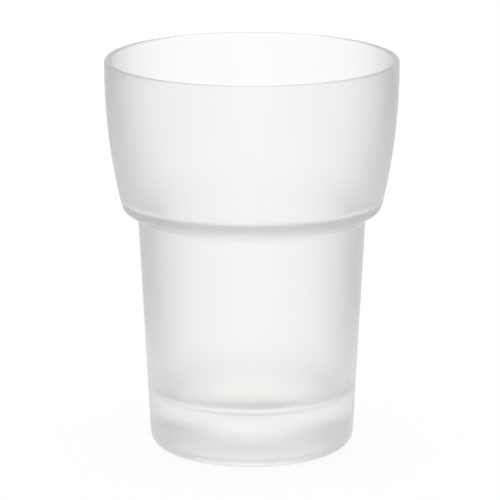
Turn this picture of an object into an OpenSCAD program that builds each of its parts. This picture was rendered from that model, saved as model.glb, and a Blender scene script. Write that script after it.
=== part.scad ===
// Bathroom tumbler of satin-frosted glass, in one piece: a swelling bowl over a shoulder that
// rests in a holder ring, a tapered lower body, and a thick base with a shallow hollow below.
// Millimetres, +Z up, origin at the centre of the standing plane.

/* [Overall] */
// Height from the standing plane to the top of the lip
height = 100; // [88:0.5:120]

/* [Bowl] */
// Radius of the bowl wall's lengthwise outer curve
bowl_curve_r = 148; // [110:1:200]
// Height of the lip above the bowl's widest ring
rim_tuck = 2.6; // [1:0.1:6]
// Glass thickness at the lip, which is fully rounded
lip_t = 1.4; // [1.1:0.1:1.8]
// Glass thickness of the bowl wall at its foot, above the shoulder
bowl_wall = 3.1; // [2.4:0.1:3.7]

/* [Shoulder] */
// Height of the corner where the lower body meets the shoulder's underside
shoulder_h = 59.7; // [50:0.5:70]
// How far the shoulder stands out past the neck corner
shoulder_reach = 4.2; // [3.5:0.1:6]
// Rise of the shoulder's underside from the neck outwards, in degrees
underside_angle = 30; // [24:1:40]
// Radius of the shoulder's outer rounding
shoulder_r = 2.2; // [1.6:0.1:2.8]
// Radius of the hollow rounding in the neck corner
neck_r = 1.65; // [1:0.05:2.2]
// Glass thickness between the shoulder's underside and the step inside
step_t = 3.3; // [2.6:0.1:4]
// Radius of the hollow rounding where the step meets the bowl wall inside
step_r = 3.2; // [1.6:0.1:4.2]
// Radius of the rounding where the step turns down into the well
throat_r = 5; // [2.5:0.1:6.2]

/* [Lower body] */
// Outside diameter of the body where its wall line meets the standing plane
foot_d = 51.4; // [44:0.2:62]
// Lean of the body's wall outwards, in degrees
body_taper = 2.96; // [2:0.02:3.4]
// Glass thickness of the body wall at the neck
neck_wall = 3.2; // [2.4:0.1:3.8]
// Glass thickness of the body wall at the floor
foot_wall = 4.2; // [3:0.1:5]
// Radius of the heel, the rounding between body and standing ring
heel_r = 3.8; // [2.5:0.1:5]

/* [Base] */
// Height of the well's floor at its edge, which is the weight of glass in the base
floor_h = 13.2; // [10:0.2:18]
// Depth of the floor's dish at the centre, below its edge
floor_dish = 0.8; // [0.3:0.1:1.5]
// Radius of the hollow rounding between the floor and the well's wall
floor_r = 5; // [2:0.1:7]
// Width of the flat ring that the tumbler stands on
standing_ring_w = 2.6; // [1.2:0.1:4]
// Depth of the hollow inside the standing ring, at the centre
hollow_depth = 2.4; // [0.8:0.1:3.2]

/* [Hidden] */
$fa = 2;
$fs = 0.25;
// Most that the straight steps of a curve in the section may leave the true arc
curve_tolerance = 0.003;

// Unit vectors in the section plane, where x is the radius and y the height
function along(angle) = [cos(angle), sin(angle)];
function unit(v) = v / norm(v);

// Centre of a circle of radius r that lies in the corner under a sloping line and outside a wall
// line: it touches the line through wall_p along wall_u and the line through slope_p along slope_u
function corner_centre(wall_p, wall_u, slope_p, slope_u, r) =
    let (
        wall_n = [wall_u[1], -wall_u[0]],
        slope_n = [slope_u[1], -slope_u[0]],
        wall_reach = wall_p * wall_n + r,
        slope_reach = slope_p * slope_n + r,
        cross_n = wall_n[0] * slope_n[1] - wall_n[1] * slope_n[0]
    )
    [
        (wall_reach * slope_n[1] - slope_reach * wall_n[1]) / cross_n,
        (wall_n[0] * slope_reach - slope_n[0] * wall_reach) / cross_n
    ];

// Centre of a circle of radius r that touches a line on the side of its normal n, and nestles
// inside a large circle; of the two places it is the one further along u
function nestled_centre(line_p, u, n, large_c, large_r, r) =
    let (
        start = line_p + r * n - large_c,
        lead = start * u
    )
    large_c + start + u * (sqrt(lead * lead - start * start + pow(large_r - r, 2)) - lead);

// Where a circle of radius r, nestled inside a large circle, touches it
function nestled_touch(c, large_c, r) = c + r * unit(c - large_c);

// Wall of the lower body, outside
body_u = along(90 - body_taper);
foot_p = [foot_d / 2, 0];
function body_at(z) = foot_p + body_u * z / body_u[1];

// Heel and standing ring
heel_c = [body_at(heel_r)[0] - heel_r / body_u[1], heel_r];
heel_on_plane = [heel_c[0], 0];
heel_on_body = heel_c + heel_r * [body_u[1], -body_u[0]];
hollow_edge = [heel_c[0] - standing_ring_w, 0];
hollow_top = [0, hollow_depth];
hollow_curve_r = (pow(hollow_edge[0], 2) + pow(hollow_depth, 2)) / (2 * hollow_depth);
hollow_c = hollow_top - [0, hollow_curve_r];

// Neck corner and the shoulder's underside
under_u = along(underside_angle);
under_n = [-under_u[1], under_u[0]];
neck_p = body_at(shoulder_h);
neck_c = corner_centre(neck_p, body_u, neck_p, under_u, neck_r);
neck_on_body = neck_c - neck_r * [body_u[1], -body_u[0]];
neck_on_under = neck_c + neck_r * under_n;

// Shoulder's rounding, and the outer curve of the bowl that swells up from it
shoulder_run = (shoulder_reach - shoulder_r - shoulder_r * under_n[0]) / under_u[0];
shoulder_c = neck_p + shoulder_run * under_u + shoulder_r * under_n;
shoulder_on_under = shoulder_c - shoulder_r * under_n;
widest_h = height - rim_tuck;
bowl_c = [
    shoulder_c[0] - sqrt(pow(bowl_curve_r - shoulder_r, 2) - pow(widest_h - shoulder_c[1], 2)),
    widest_h
];
shoulder_on_bowl = nestled_touch(shoulder_c, bowl_c, shoulder_r);

// Lip, a half round that the outer and the inner curve run into
lip_r = lip_t / 2;
lip_h = height - lip_r;
lip_c = [
    bowl_c[0] + sqrt(pow(bowl_curve_r - lip_r, 2) - pow(lip_h - bowl_c[1], 2)),
    lip_h
];
lip_top = [lip_c[0], height];
lip_outwards = unit(lip_c - bowl_c);
lip_outside = lip_c + lip_r * lip_outwards;
lip_inside = lip_c - lip_r * lip_outwards;

// Inner curve of the bowl: it leaves the lip square to the lip's width, and bends so that the wall
// is bowl_wall thick at the shoulder
bowl_foot_inside = shoulder_on_bowl - bowl_wall * unit(shoulder_on_bowl - bowl_c);
inner_span = bowl_foot_inside - lip_inside;
inner_curve_r = (inner_span * inner_span) / (-2 * (inner_span * lip_outwards));
inner_c = lip_inside - inner_curve_r * lip_outwards;

// Step inside, parallel to the shoulder's underside, with its corner nestled in the bowl
step_p = neck_p + step_t * under_n;
step_c = nestled_centre(step_p, under_u, under_n, inner_c, inner_curve_r, step_r);
step_on_bowl = nestled_touch(step_c, inner_c, step_r);
step_on_slope = step_c - step_r * under_n;

// Wall of the well, which thickens from the neck to the floor
well_top = neck_p - [neck_wall, 0];
well_foot = body_at(floor_h) - [foot_wall, 0];
well_u = unit(well_top - well_foot);
well_n = [-well_u[1], well_u[0]];
throat_c = corner_centre(well_top, well_u, step_p, under_u, throat_r);
throat_on_slope = throat_c + throat_r * under_n;
throat_on_well = throat_c + throat_r * well_n;

// Dished floor, with its corner nestled between the dish and the well's wall
dish_low = [0, floor_h - floor_dish];
dish_r = (pow(well_foot[0], 2) + pow(floor_dish, 2)) / (2 * floor_dish);
dish_c = dish_low + [0, dish_r];
floor_c = nestled_centre(well_top, -well_u, well_n, dish_c, dish_r, floor_r);
floor_on_well = floor_c - floor_r * well_n;
floor_on_dish = nestled_touch(floor_c, dish_c, floor_r);

// Points of the short arc round c from point a to point b; first = 1 leaves a itself out, for an arc
// that runs on from the one before
function arc(c, a, b, first = 0) =
    let (
        r = norm(a - c),
        from = atan2(a[1] - c[1], a[0] - c[0]),
        turn = (atan2(b[1] - c[1], b[0] - c[0]) - from + 540) % 360 - 180,
        steps = ceil(abs(turn) / (2 * acos(1 - curve_tolerance / r)))
    )
    [for (i = [first : steps]) c + r * along(from + turn * i / steps)];

// Half section of the glass, from the hollow below up the outside, over the lip and down inside
section = concat(
    arc(hollow_c, hollow_top, hollow_edge),
    arc(heel_c, heel_on_plane, heel_on_body),
    arc(neck_c, neck_on_body, neck_on_under),
    arc(shoulder_c, shoulder_on_under, shoulder_on_bowl),
    arc(bowl_c, shoulder_on_bowl, lip_outside, first = 1),
    arc(lip_c, lip_outside, lip_top, first = 1),
    arc(lip_c, lip_top, lip_inside, first = 1),
    arc(inner_c, lip_inside, step_on_bowl, first = 1),
    arc(step_c, step_on_bowl, step_on_slope, first = 1),
    arc(throat_c, throat_on_slope, throat_on_well),
    arc(floor_c, floor_on_well, floor_on_dish),
    arc(dish_c, floor_on_dish, dish_low, first = 1)
);

module tumbler_glass() {
    color([0.90, 0.93, 0.91]) rotate_extrude() polygon(section);
}

tumbler_glass();
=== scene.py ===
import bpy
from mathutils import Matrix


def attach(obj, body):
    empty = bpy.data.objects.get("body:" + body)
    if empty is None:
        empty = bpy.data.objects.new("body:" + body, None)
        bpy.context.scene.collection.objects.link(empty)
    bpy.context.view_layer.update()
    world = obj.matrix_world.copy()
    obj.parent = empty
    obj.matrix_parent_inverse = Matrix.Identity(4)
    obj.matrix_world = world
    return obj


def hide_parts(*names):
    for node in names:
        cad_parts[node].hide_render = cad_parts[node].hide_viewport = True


bl_info = {
    "name": "Bathroom Tumbler",
    "version": (1, 0, 0),
    "blender": (4, 5, 0),
    "location": "3D View > Sidebar > Tumbler",
    "description": "Makes a satin-frosted glass bathroom tumbler with its stage, light and camera",
    "category": "Add Mesh",
}

import math

import bpy
from bpy.props import FloatProperty, FloatVectorProperty, IntProperty, PointerProperty
from mathutils import Vector

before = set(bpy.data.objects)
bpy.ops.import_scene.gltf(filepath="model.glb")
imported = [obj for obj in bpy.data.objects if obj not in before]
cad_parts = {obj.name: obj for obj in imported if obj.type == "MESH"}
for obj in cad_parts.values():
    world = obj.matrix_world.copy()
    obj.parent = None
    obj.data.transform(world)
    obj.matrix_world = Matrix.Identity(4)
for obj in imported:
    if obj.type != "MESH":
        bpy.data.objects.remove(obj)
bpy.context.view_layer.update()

CAD_NODE = "tumbler_glass"
GLASS = "frosted_tumbler"
MM = 0.001

# Distances from the axis between which the floor's painted shades and the floor in the glass come and go
FOOT_SHADE_OUT = (10 * MM, 20 * MM)
RING_SHADE_IN = (28 * MM, 45 * MM)
RING_SHADE_OUT = (47 * MM, 72 * MM)
FLOOR_OUT = (100 * MM, 140 * MM)

# Heights in the room: -1 is straight below, 0 the horizon and 1 straight above
UNDER_SHADE_OUT = (-0.98, -0.7)
CARD_MIDDLE = -0.03
WALL_MIDDLE = 0.45
WALL_HEIGHT = 0.14
LAMP_IN = (0.55, 0.8)


# Sizes and colours


def length(name, description, default, least, most):
    """A length that a user would change. Its default and limits are given in millimetres."""
    return FloatProperty(
        name=name,
        description=description,
        default=default * MM,
        min=least * MM,
        max=most * MM,
        subtype="DISTANCE",
        unit="LENGTH",
        precision=4,
    )


def angle(name, description, default, least, most):
    """An angle that a user would change. Its default and limits are given in degrees."""
    return FloatProperty(
        name=name,
        description=description,
        default=math.radians(default),
        min=math.radians(least),
        max=math.radians(most),
        subtype="ANGLE",
        unit="ROTATION",
    )


def share(name, description, default, most=1.0):
    """A plain number from nothing up to most."""
    return FloatProperty(name=name, description=description, default=default, min=0.0, max=most)


def colour(name, description, default):
    """A colour in linear light."""
    return FloatVectorProperty(
        name=name, description=description, default=default, min=0.0, max=1.0, size=3, subtype="COLOR"
    )


class TumblerSizes(bpy.types.PropertyGroup):
    """The sizes of the glass"""

    height: length("Height", "From the standing plane to the top of the lip", 100, 88, 120)

    bowl_curve_r: length("Bowl Curve", "Radius of the bowl wall's lengthwise outer curve", 148, 110, 200)
    rim_tuck: length("Rim Tuck", "Height of the lip above the bowl's widest ring", 2.6, 1, 6)
    lip_t: length("Lip", "Glass thickness at the lip, which is fully rounded", 1.4, 1.1, 1.8)
    bowl_wall: length("Bowl Wall", "Glass thickness at the bowl's foot", 3.1, 2.4, 3.7)

    shoulder_h: length("Shoulder Height", "Height of the corner under the shoulder", 59.7, 50, 70)
    shoulder_reach: length("Shoulder Reach", "How far the shoulder stands out past the neck", 4.2, 3.5, 6)
    underside_angle: angle("Underside", "Rise of the shoulder's underside", 30, 24, 40)
    shoulder_r: length("Shoulder Rounding", "Radius of the shoulder's outer rounding", 2.2, 1.6, 2.8)
    neck_r: length("Neck Hollow", "Radius of the hollow rounding in the neck corner", 1.65, 1, 2.2)
    step_t: length("Step", "Glass thickness between the underside and the step inside", 3.3, 2.6, 4)
    step_r: length("Step Hollow", "Radius where the step meets the bowl wall inside", 3.2, 1.6, 4.2)
    throat_r: length("Throat", "Radius where the step turns down into the well", 5, 2.5, 6.2)

    foot_d: length("Foot", "Diameter of the body where its wall meets the standing plane", 51.4, 44, 62)
    body_taper: angle("Taper", "Lean of the body's wall outwards", 2.96, 2, 3.4)
    neck_wall: length("Neck Wall", "Glass thickness of the body wall at the neck", 3.2, 2.4, 3.8)
    foot_wall: length("Foot Wall", "Glass thickness of the body wall at the floor", 4.2, 3, 5)
    heel_r: length("Heel", "Radius between body and standing ring", 3.8, 2.5, 5)

    floor_h: length("Floor Height", "Height of the well's floor at its edge", 13.2, 10, 18)
    floor_dish: length("Floor Dish", "Depth of the floor's dish at the centre", 0.8, 0.3, 1.5)
    floor_r: length("Floor Corner", "Radius between the floor and the well's wall", 5, 2, 7)
    standing_ring_w: length("Standing Ring", "Width of the flat ring that it stands on", 2.6, 1.2, 4)
    hollow_depth: length("Base Hollow", "Depth of the hollow under the base", 2.4, 0.8, 3.2)

    segments: IntProperty(
        name="Segments", description="Steps round the glass", default=240, min=24, max=360
    )
    curve_tolerance: length("Curve Tolerance", "Most that a step leaves the true curve", 0.0015, 0.0005, 0.05)
    longest_step: length("Longest Step", "Longest step along a straight wall", 1.5, 0.3, 10)


class TumblerFinish(bpy.types.PropertyGroup):
    """The satin finish of the glass"""

    tint: colour("Tint", "Colour that light takes on at each passage", (1.0, 1.0, 0.989))
    index: FloatProperty(name="Refraction", description="Index of refraction", default=1.47, min=1.3, max=1.9)
    roughness: share("Roughness", "Roughness of the etched surface", 0.29)
    cloud_size: length("Cloud Size", "Size of the soft patches in the etching", 9, 1, 50)
    cloud_depth: share("Cloud Depth", "How much the patches change the roughness", 0.012)
    grain_size: length("Grain Size", "Size of the fine grain of the etching", 0.45, 0.05, 3)
    grain_depth: share("Grain Depth", "How much the grain changes the roughness", 0.008)
    grain_height: length("Grain Height", "Height of the fine grain", 0.0008, 0, 0.1)


class TumblerStage(bpy.types.PropertyGroup):
    """The floor, the light and the camera"""

    floor_size: length("Floor Size", "Side of the square floor", 8000, 500, 20000)
    floor_colour: colour("Floor Colour", "Colour of the floor", (0.95, 0.95, 0.95))
    floor_glow: share("Floor Glow", "How far the white background covers the floor's own shading", 0.9)
    background: share("Background", "Strength of the white background", 1.0)
    matt_light: share("Matt Light", "Strength of the light on matt surfaces", 1.12, 3.0)
    light: share("Light", "Strength of the light that glass and gloss show", 1.034, 3.0)
    card_colour: colour("Card Colour", "Colour of the four cards between the room's sides", (0.125, 0.17, 0.21))
    card_height: share("Card Height", "How far the cards reach above and below the horizon", 0.25)
    wall_shade: share("Wall Shade", "How much darker the walls are above the backdrop", 0.5)
    lamp: share("Lamp", "How much brighter the soft lamp overhead is", 0.5, 3.0)
    under_shade: share("Under Shade", "How much darker the light from straight below is", 0.5)
    # Painted shade on the floor that glass and gloss show, set by distance from the axis
    foot_shade: share("Foot Shade", "How dark the floor is under the middle of the glass", 0.32)
    ring_shade: share("Ring Shade", "How dark the ring of shade is that lies round the glass", 0.15)
    bounces: IntProperty(
        name="Bounces", description="How often light may pass or meet the glass", default=24, min=4, max=64
    )
    camera_side: length("Camera Side", "How far the camera stands to the right", -0.47, -500, 500)
    camera_back: length("Camera Distance", "How far the camera stands before the glass", 911.84, 200, 5000)
    camera_height: length("Camera Height", "How high the camera stands", 272.55, 0, 3000)
    camera_dip: angle("Camera Dip", "How far the camera looks down", 13.6846, -90, 90)
    camera_lens: FloatProperty(
        name="Lens", description="Focal length of the camera in millimetres", default=266.36, min=20, max=1000
    )


# Outline of the glass: x is the radius and y the height


def along(turn):
    """Unit vector at an angle in radians."""
    return Vector((math.cos(turn), math.sin(turn)))


def left_of(direction):
    """The direction turned a quarter to the left."""
    return Vector((-direction.y, direction.x))


def corner_centre(wall, wall_u, slope, slope_u, r):
    """Centre of a circle in the corner under a sloping line and outside a wall line."""
    wall_n, slope_n = -left_of(wall_u), -left_of(slope_u)
    wall_reach, slope_reach = wall @ wall_n + r, slope @ slope_n + r
    cross = wall_n.x * slope_n.y - wall_n.y * slope_n.x
    return Vector(
        (
            (wall_reach * slope_n.y - slope_reach * wall_n.y) / cross,
            (wall_n.x * slope_reach - slope_n.x * wall_reach) / cross,
        )
    )


def nestled_centre(line, u, n, large_c, large_r, r):
    """Centre of a circle that touches a line on its n side and nestles inside a large circle."""
    start = line + r * n - large_c
    lead = start @ u
    return large_c + start + u * (math.sqrt(lead * lead - start @ start + (large_r - r) ** 2) - lead)


def nestled_touch(c, large_c, r):
    """Where a circle nestled inside a large one touches it."""
    return c + r * (c - large_c).normalized()


def arc(c, a, b, tolerance):
    """Points of the short arc round c from a to b."""
    r = (a - c).length
    start = math.atan2(a.y - c.y, a.x - c.x)
    turn = (math.atan2(b.y - c.y, b.x - c.x) - start + 3 * math.pi) % (2 * math.pi) - math.pi
    steps = max(2, math.ceil(abs(turn) / (2 * math.acos(1 - tolerance / r))))
    return [c + r * along(start + turn * i / steps) for i in range(steps + 1)]


def glass_outline(s):
    """Half section of the glass in two lines: outside from the hollow to the lip, and inside to the floor."""
    body_u = along(math.pi / 2 - s.body_taper)
    foot = Vector((s.foot_d / 2, 0))

    def body_at(z):
        return foot + body_u * (z / body_u.y)

    heel_c = Vector((body_at(s.heel_r).x - s.heel_r / body_u.y, s.heel_r))
    heel_on_plane = Vector((heel_c.x, 0))
    heel_on_body = heel_c - s.heel_r * left_of(body_u)
    hollow_edge = Vector((heel_c.x - s.standing_ring_w, 0))
    hollow_top = Vector((0, s.hollow_depth))
    hollow_c = hollow_top - Vector((0, (hollow_edge.x**2 + s.hollow_depth**2) / (2 * s.hollow_depth)))

    under_u = along(s.underside_angle)
    under_n = left_of(under_u)
    neck = body_at(s.shoulder_h)
    neck_c = corner_centre(neck, body_u, neck, under_u, s.neck_r)
    neck_on_body = neck_c + s.neck_r * left_of(body_u)
    neck_on_under = neck_c + s.neck_r * under_n

    shoulder_run = (s.shoulder_reach - s.shoulder_r - s.shoulder_r * under_n.x) / under_u.x
    shoulder_c = neck + shoulder_run * under_u + s.shoulder_r * under_n
    shoulder_on_under = shoulder_c - s.shoulder_r * under_n
    widest = s.height - s.rim_tuck
    bowl_c = Vector(
        (
            shoulder_c.x - math.sqrt((s.bowl_curve_r - s.shoulder_r) ** 2 - (widest - shoulder_c.y) ** 2),
            widest,
        )
    )
    shoulder_on_bowl = nestled_touch(shoulder_c, bowl_c, s.shoulder_r)

    lip_r = s.lip_t / 2
    lip_h = s.height - lip_r
    lip_c = Vector(
        (bowl_c.x + math.sqrt((s.bowl_curve_r - lip_r) ** 2 - (lip_h - bowl_c.y) ** 2), lip_h)
    )
    lip_top = Vector((lip_c.x, s.height))
    lip_outwards = (lip_c - bowl_c).normalized()
    lip_outside = lip_c + lip_r * lip_outwards
    lip_inside = lip_c - lip_r * lip_outwards

    bowl_foot = shoulder_on_bowl - s.bowl_wall * (shoulder_on_bowl - bowl_c).normalized()
    span = bowl_foot - lip_inside
    inner_r = span.length_squared / (-2 * (span @ lip_outwards))
    inner_c = lip_inside - inner_r * lip_outwards

    step = neck + s.step_t * under_n
    step_c = nestled_centre(step, under_u, under_n, inner_c, inner_r, s.step_r)
    step_on_bowl = nestled_touch(step_c, inner_c, s.step_r)
    step_on_slope = step_c - s.step_r * under_n

    well_top = neck - Vector((s.neck_wall, 0))
    well_foot = body_at(s.floor_h) - Vector((s.foot_wall, 0))
    well_u = (well_top - well_foot).normalized()
    well_n = left_of(well_u)
    throat_c = corner_centre(well_top, well_u, step, under_u, s.throat_r)
    throat_on_slope = throat_c + s.throat_r * under_n
    throat_on_well = throat_c + s.throat_r * well_n

    dish_low = Vector((0, s.floor_h - s.floor_dish))
    dish_r = (well_foot.x**2 + s.floor_dish**2) / (2 * s.floor_dish)
    dish_c = dish_low + Vector((0, dish_r))
    floor_c = nestled_centre(well_top, -well_u, well_n, dish_c, dish_r, s.floor_r)
    floor_on_well = floor_c - s.floor_r * well_n
    floor_on_dish = nestled_touch(floor_c, dish_c, s.floor_r)

    t = s.curve_tolerance
    outside = (
        arc(hollow_c, hollow_top, hollow_edge, t)
        + arc(heel_c, heel_on_plane, heel_on_body, t)
        + arc(neck_c, neck_on_body, neck_on_under, t)
        + arc(shoulder_c, shoulder_on_under, shoulder_on_bowl, t)
        + arc(bowl_c, shoulder_on_bowl, lip_outside, t)
        + arc(lip_c, lip_outside, lip_top, t)
    )
    inside = (
        arc(lip_c, lip_top, lip_inside, t)
        + arc(inner_c, lip_inside, step_on_bowl, t)
        + arc(step_c, step_on_bowl, step_on_slope, t)
        + arc(throat_c, throat_on_slope, throat_on_well, t)
        + arc(floor_c, floor_on_well, floor_on_dish, t)
        + arc(dish_c, floor_on_dish, dish_low, t)
    )
    return outside, inside


def without_doubles(points, apart):
    """The points of a line, each at least a given way from the one before."""
    kept = points[:1]
    for p in points[1:]:
        if (p - kept[-1]).length > apart:
            kept.append(p)
    return kept


def with_short_steps(points, longest):
    """The points of a line, with more on its long steps."""
    out = points[:1]
    for a, b in zip(points, points[1:]):
        steps = max(1, math.ceil((b - a).length / longest))
        out += [a.lerp(b, i / steps) for i in range(1, steps + 1)]
    return out


# Node trees


class Wire:
    """A socket that takes part in Python arithmetic: each sum adds its Math node."""

    def __init__(self, tree, socket):
        self.tree = tree
        self.socket = socket

    def math(self, operation, *others):
        return self.tree.math(operation, self, *others)

    def __add__(self, other):
        return self.math("ADD", other)

    __radd__ = __add__

    def __mul__(self, other):
        return self.math("MULTIPLY", other)

    __rmul__ = __mul__

    def __sub__(self, other):
        return self.math("SUBTRACT", other)

    def __rsub__(self, other):
        return self.tree.math("SUBTRACT", other, self)

    def __truediv__(self, other):
        return self.math("DIVIDE", other)


class Outputs:
    """The outputs of a node, as wires, by number or name."""

    def __init__(self, tree, node):
        self.tree = tree
        self.node = node

    def __getitem__(self, key):
        return Wire(self.tree, self.node.outputs[key])


class Tree:
    """A node tree that is written as expressions."""

    def __init__(self, data):
        self.data = data
        self.data.nodes.clear()

    def add(self, kind, settings=None, inputs=None):
        """Adds a node, sets its settings first and then the values or links of its sockets."""
        node = self.data.nodes.new(kind)
        for key, value in (settings or {}).items():
            setattr(node, key, value)
        for key, value in (inputs or {}).items():
            if isinstance(value, Wire):
                self.data.links.new(value.socket, node.inputs[key])
            else:
                node.inputs[key].default_value = value
        return Outputs(self, node)

    def math(self, operation, *values):
        """Adds a Math node for one operation on numbers and wires."""
        return self.add("ShaderNodeMath", {"operation": operation}, dict(enumerate(values)))[0]


def shader_tree(holder):
    """An empty node tree in a material or a world."""
    holder.use_nodes = True
    return Tree(holder.node_tree)


# The lathe: turns an outline into a glass


def lathe_group():
    """Geometry Nodes that turn a line of points round the upright axis."""
    group = bpy.data.node_groups.new("Turn on a lathe", "GeometryNodeTree")
    face = group.interface
    face.new_socket("Outline", in_out="INPUT", socket_type="NodeSocketGeometry")
    segments = face.new_socket("Segments", in_out="INPUT", socket_type="NodeSocketInt")
    segments.default_value, segments.min_value = 240, 3
    weld = face.new_socket("Weld Distance", in_out="INPUT", socket_type="NodeSocketFloat")
    weld.default_value, weld.min_value, weld.subtype = 1e-6, 0.0, "DISTANCE"
    face.new_socket("Glass", in_out="INPUT", socket_type="NodeSocketMaterial")
    face.new_socket("Geometry", in_out="OUTPUT", socket_type="NodeSocketGeometry")

    t = Tree(group)
    given = t.add("NodeGroupInput")
    outline = given["Outline"]
    points = t.add("GeometryNodeAttributeDomainSize", {"component": "MESH"}, {"Geometry": outline})["Point Count"]
    grid = t.add(
        "GeometryNodeMeshGrid",
        None,
        {"Size X": 1.0, "Size Y": 1.0, "Vertices X": given["Segments"] + 1, "Vertices Y": points},
    )["Mesh"]
    place = t.add("ShaderNodeSeparateXYZ", None, {0: t.add("GeometryNodeInputPosition")[0]})
    round_share = place["X"] + 0.5
    point = (place["Y"] + 0.5) * (points - 1)
    number = t.add("FunctionNodeFloatToInt", {"rounding_mode": "ROUND"}, {0: point})[0]

    def from_outline(kind, value):
        return t.add(
            "GeometryNodeSampleIndex",
            {"data_type": kind, "domain": "POINT"},
            {"Geometry": outline, "Value": value, "Index": number},
        )[0]

    def kept(geometry, name, kind, domain, value):
        return t.add(
            "GeometryNodeStoreNamedAttribute",
            {"data_type": kind, "domain": domain},
            {"Geometry": geometry, "Name": name, "Value": value},
        )[0]

    def attribute(name):
        return t.add("GeometryNodeInputNamedAttribute", {"data_type": "FLOAT"}, {"Name": name})["Attribute"]

    flat = t.add(
        "ShaderNodeCombineXYZ", None, {"X": round_share, "Y": from_outline("FLOAT", attribute("way"))}
    )[0]
    shell = kept(grid, "UVMap", "FLOAT2", "CORNER", flat)
    shell = kept(shell, "inside", "FLOAT", "POINT", from_outline("FLOAT", attribute("inside")))
    sampled = from_outline("FLOAT_VECTOR", t.add("GeometryNodeInputPosition")[0])
    turned = t.add(
        "ShaderNodeVectorRotate",
        {"rotation_type": "Z_AXIS"},
        {"Vector": sampled, "Angle": round_share * (2 * math.pi)},
    )[0]
    shell = t.add("GeometryNodeSetPosition", None, {"Geometry": shell, "Position": turned})[0]
    shell = t.add("GeometryNodeMergeByDistance", None, {"Geometry": shell, "Distance": given["Weld Distance"]})[0]
    shell = t.add("GeometryNodeSetShadeSmooth", None, {"Geometry": shell, "Shade Smooth": True})[0]
    shell = t.add("GeometryNodeRealizeInstances", None, {"Geometry": shell})[0]
    shell = t.add("GeometryNodeSetMaterial", None, {"Geometry": shell, "Material": given["Glass"]})[0]
    t.add("NodeGroupOutput", None, {"Geometry": shell})
    return group


def set_inputs(modifier, **values):
    """Sets a modifier's inputs by the identifiers of the sockets that carry their names."""
    for item in modifier.node_group.interface.items_tree:
        key = item.name.replace(" ", "_").lower()
        if item.item_type == "SOCKET" and item.in_out == "INPUT" and key in values:
            modifier[item.identifier] = values.pop(key)
    if values:
        raise RuntimeError(f"the node group has no inputs for {sorted(values)}")


def turned_glass(sizes, material):
    """The glass as a plain mesh object at the origin."""
    outside, inside = glass_outline(sizes)
    apart = sizes.curve_tolerance / 10
    outside = with_short_steps(without_doubles(outside, apart), sizes.longest_step)
    inside = with_short_steps(without_doubles([outside[-1]] + inside, apart), sizes.longest_step)[1:]
    points = outside + inside
    ways = [0.0]
    for a, b in zip(points, points[1:]):
        ways.append(ways[-1] + (b - a).length)

    line = bpy.data.meshes.new("tumbler outline")
    line.from_pydata([(p.x, 0, p.y) for p in points], [(i, i + 1) for i in range(len(points) - 1)], [])
    line.attributes.new("way", "FLOAT", "POINT").data.foreach_set("value", [w / ways[-1] for w in ways])
    line.attributes.new("inside", "FLOAT", "POINT").data.foreach_set(
        "value", [0.0] * len(outside) + [1.0] * len(inside)
    )
    draft = bpy.data.objects.new("tumbler draft", line)
    bpy.context.scene.collection.objects.link(draft)
    lathe = draft.modifiers.new("Lathe", "NODES")
    lathe.node_group = lathe_group()
    set_inputs(lathe, segments=sizes.segments, weld_distance=sizes.curve_tolerance / 10, glass=material)
    done = draft.evaluated_get(bpy.context.evaluated_depsgraph_get())
    mesh = bpy.data.meshes.new_from_object(done)
    bpy.data.objects.remove(draft)

    mesh.name = GLASS
    glass = bpy.data.objects.new(GLASS, mesh)
    bpy.context.scene.collection.objects.link(glass)
    return glass


# Finish


def satin_glass(finish):
    """Etched glass: clear inside, with a fine satin grain and soft patches on its surface."""
    material = bpy.data.materials.new("satin frosted glass")
    t = shader_tree(material)
    place = t.add("ShaderNodeTexCoord")["Object"]

    def noise(size, detail):
        inputs = {"Vector": place, "Scale": 1 / size, "Detail": detail, "Roughness": 0.55}
        return t.add("ShaderNodeTexNoise", {"noise_dimensions": "3D"}, inputs)[0]

    clouds = noise(finish.cloud_size, 3.0) - 0.5
    grain = noise(finish.grain_size, 4.0) - 0.5
    roughness = clouds * (2 * finish.cloud_depth) + grain * (2 * finish.grain_depth) + finish.roughness
    normal = t.add("ShaderNodeBump", None, {"Strength": 1.0, "Distance": finish.grain_height, "Height": grain})[0]
    shader = t.add(
        "ShaderNodeBsdfPrincipled",
        None,
        {
            "Base Color": (*finish.tint, 1.0),
            "Roughness": roughness,
            "IOR": finish.index,
            "Transmission Weight": 1.0,
            "Normal": normal,
        },
    )[0]
    t.add("ShaderNodeOutputMaterial", None, {"Surface": shader})
    return material


def mixed(t, share, one, other):
    """The first shader with a share of the other."""
    return t.add("ShaderNodeMixShader", None, {0: share, 1: one, 2: other})[0]


def by_ray(t, in_glass, seen, other):
    """One shader for what glass and gloss show, one for the camera's own view, and one for matt things."""
    path = t.add("ShaderNodeLightPath")
    shown = path["Is Glossy Ray"].math("MAXIMUM", path["Is Transmission Ray"])
    return mixed(t, path["Is Camera Ray"], mixed(t, shown, other, in_glass), seen)


def between(t, value, start, end):
    """A soft step from 0 at start to 1 at end."""
    inputs = {"Value": value, "From Min": start, "From Max": end, "To Min": 0.0, "To Max": 1.0}
    return t.add("ShaderNodeMapRange", {"interpolation_type": "SMOOTHSTEP"}, inputs)[0]


def bell(value, middle, width):
    """A soft bump that is 1 at the middle."""
    way = (value - middle) / width
    return (way * way * -1).math("EXPONENT")


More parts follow.
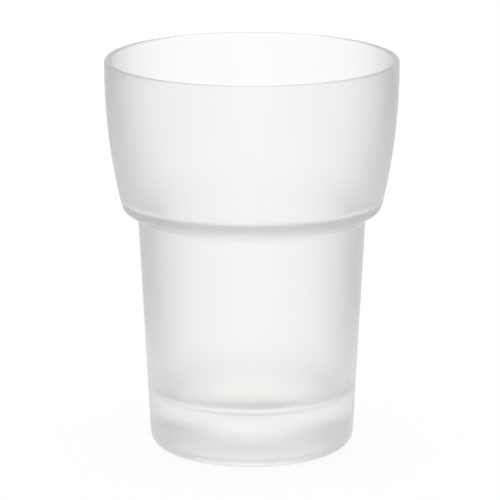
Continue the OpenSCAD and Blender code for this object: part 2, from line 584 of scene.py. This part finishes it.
def white_floor(stage):
    """A matt floor, mostly covered by the white background. Glass shows it with a painted shade under and round
    the foot.
    """
    material = bpy.data.materials.new("white floor")
    t = shader_tree(material)
    place = t.add("ShaderNodeSeparateXYZ", None, {0: t.add("ShaderNodeTexCoord")["Object"]})
    away = (place["X"] * place["X"] + place["Y"] * place["Y"]).math("SQRT")
    under = 1 - between(t, away, *FOOT_SHADE_OUT)
    ring = between(t, away, *RING_SHADE_IN) * (1 - between(t, away, *RING_SHADE_OUT))
    # Painted shade: the floor that glass and gloss show is darker under the foot and in a ring round it, set by
    # distance from the axis
    shade = under * stage.foot_shade + ring * stage.ring_shade

    def glow(strength):
        return t.add("ShaderNodeEmission", None, {"Color": (1, 1, 1, 1), "Strength": strength})[0]

    matt = t.add("ShaderNodeBsdfDiffuse", None, {"Color": (*stage.floor_colour, 1.0)})[0]
    clear = t.add("ShaderNodeBsdfTransparent")[0]
    near = mixed(t, shade, glow(stage.light), glow(0.0))
    in_glass = mixed(t, between(t, away, *FLOOR_OUT), near, clear)
    seen = mixed(t, stage.floor_glow, matt, glow(stage.background))
    t.add("ShaderNodeOutputMaterial", None, {"Surface": by_ray(t, in_glass, seen, matt)})
    return material


def soft_light(stage):
    """A white room with a lamp overhead, greyer walls and four dark cards that give the glass its edges."""
    world = bpy.data.worlds.new("soft light")
    t = shader_tree(world)
    way = t.add("ShaderNodeSeparateXYZ", None, {0: t.add("ShaderNodeTexCoord")["Generated"]})
    across, deep, up = way["X"] * way["X"], way["Y"] * way["Y"], way["Z"]
    level = across + deep + 1e-6
    cards = across * deep * 4 / (level * level) * bell(up, CARD_MIDDLE, stage.card_height)
    walls = bell(up, WALL_MIDDLE, WALL_HEIGHT) * stage.wall_shade
    lamp = between(t, up, *LAMP_IN) * stage.lamp
    below = (1 - between(t, up, *UNDER_SHADE_OUT)) * stage.under_shade
    strength = (1 - walls + lamp - below) * stage.light

    def light(strength, colour=(1, 1, 1)):
        return t.add("ShaderNodeBackground", None, {"Color": (*colour, 1.0), "Strength": strength})[0]

    room = mixed(t, cards, light(strength), light(strength, stage.card_colour))
    shader = by_ray(t, room, light(stage.background), light(stage.matt_light))
    t.add("ShaderNodeOutputWorld", None, {"Surface": shader})
    return world


# Operators and panel


class TUMBLER_OT_glass(bpy.types.Operator):
    """Turn the glass and give it its satin finish"""

    bl_idname = "tumbler.glass"
    bl_label = "Make Glass"

    def execute(self, context):
        scene = context.scene
        glass = turned_glass(scene.tumbler_sizes, satin_glass(scene.tumbler_finish))
        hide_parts(CAD_NODE)
        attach(glass, "root")
        return {"FINISHED"}


class TUMBLER_OT_stage(bpy.types.Operator):
    """Lay the floor, and set up the light and the camera"""

    bl_idname = "tumbler.stage"
    bl_label = "Make Stage"

    def execute(self, context):
        scene = context.scene
        stage = scene.tumbler_stage
        half = stage.floor_size / 2
        sheet = bpy.data.meshes.new("floor")
        corners = [(-half, -half, 0), (half, -half, 0), (half, half, 0), (-half, half, 0)]
        sheet.from_pydata(corners, [], [(0, 1, 2, 3)])
        sheet.materials.append(white_floor(stage))
        floor = bpy.data.objects.new("floor", sheet)
        scene.collection.objects.link(floor)

        scene.world = soft_light(stage)
        scene.view_settings.view_transform = "Standard"
        for kind in ("max_bounces", "glossy_bounces", "transmission_bounces", "transparent_max_bounces"):
            setattr(scene.cycles, kind, stage.bounces)

        lens = bpy.data.cameras.new("camera")
        lens.lens = stage.camera_lens
        lens.sensor_width = 36
        lens.clip_start, lens.clip_end = 0.01, stage.floor_size
        camera = bpy.data.objects.new("camera", lens)
        camera.location = (stage.camera_side, -stage.camera_back, stage.camera_height)
        camera.rotation_euler = (math.pi / 2 - stage.camera_dip, 0, 0)
        scene.collection.objects.link(camera)
        scene.camera = camera
        return {"FINISHED"}


class TUMBLER_PT_panel(bpy.types.Panel):
    """Sizes, finish and stage of the tumbler"""

    bl_idname = "TUMBLER_PT_panel"
    bl_label = "Bathroom Tumbler"
    bl_space_type = "VIEW_3D"
    bl_region_type = "UI"
    bl_category = "Tumbler"

    def draw(self, context):
        scene = context.scene
        for title, group, operator in (
            ("Sizes", scene.tumbler_sizes, None),
            ("Finish", scene.tumbler_finish, TUMBLER_OT_glass),
            ("Stage", scene.tumbler_stage, TUMBLER_OT_stage),
        ):
            part = self.layout.box()
            part.label(text=title)
            for name in group.__annotations__:
                part.prop(group, name)
            if operator:
                part.operator(operator.bl_idname)


CLASSES = (TumblerSizes, TumblerFinish, TumblerStage, TUMBLER_OT_glass, TUMBLER_OT_stage, TUMBLER_PT_panel)


def register():
    for each in CLASSES:
        bpy.utils.register_class(each)
    bpy.types.Scene.tumbler_sizes = PointerProperty(type=TumblerSizes)
    bpy.types.Scene.tumbler_finish = PointerProperty(type=TumblerFinish)
    bpy.types.Scene.tumbler_stage = PointerProperty(type=TumblerStage)


def unregister():
    for name in ("tumbler_sizes", "tumbler_finish", "tumbler_stage"):
        delattr(bpy.types.Scene, name)
    for each in reversed(CLASSES):
        bpy.utils.unregister_class(each)


def main():
    register()
    bpy.ops.tumbler.glass()
    bpy.ops.tumbler.stage()


if __name__ == "__main__":
    main()
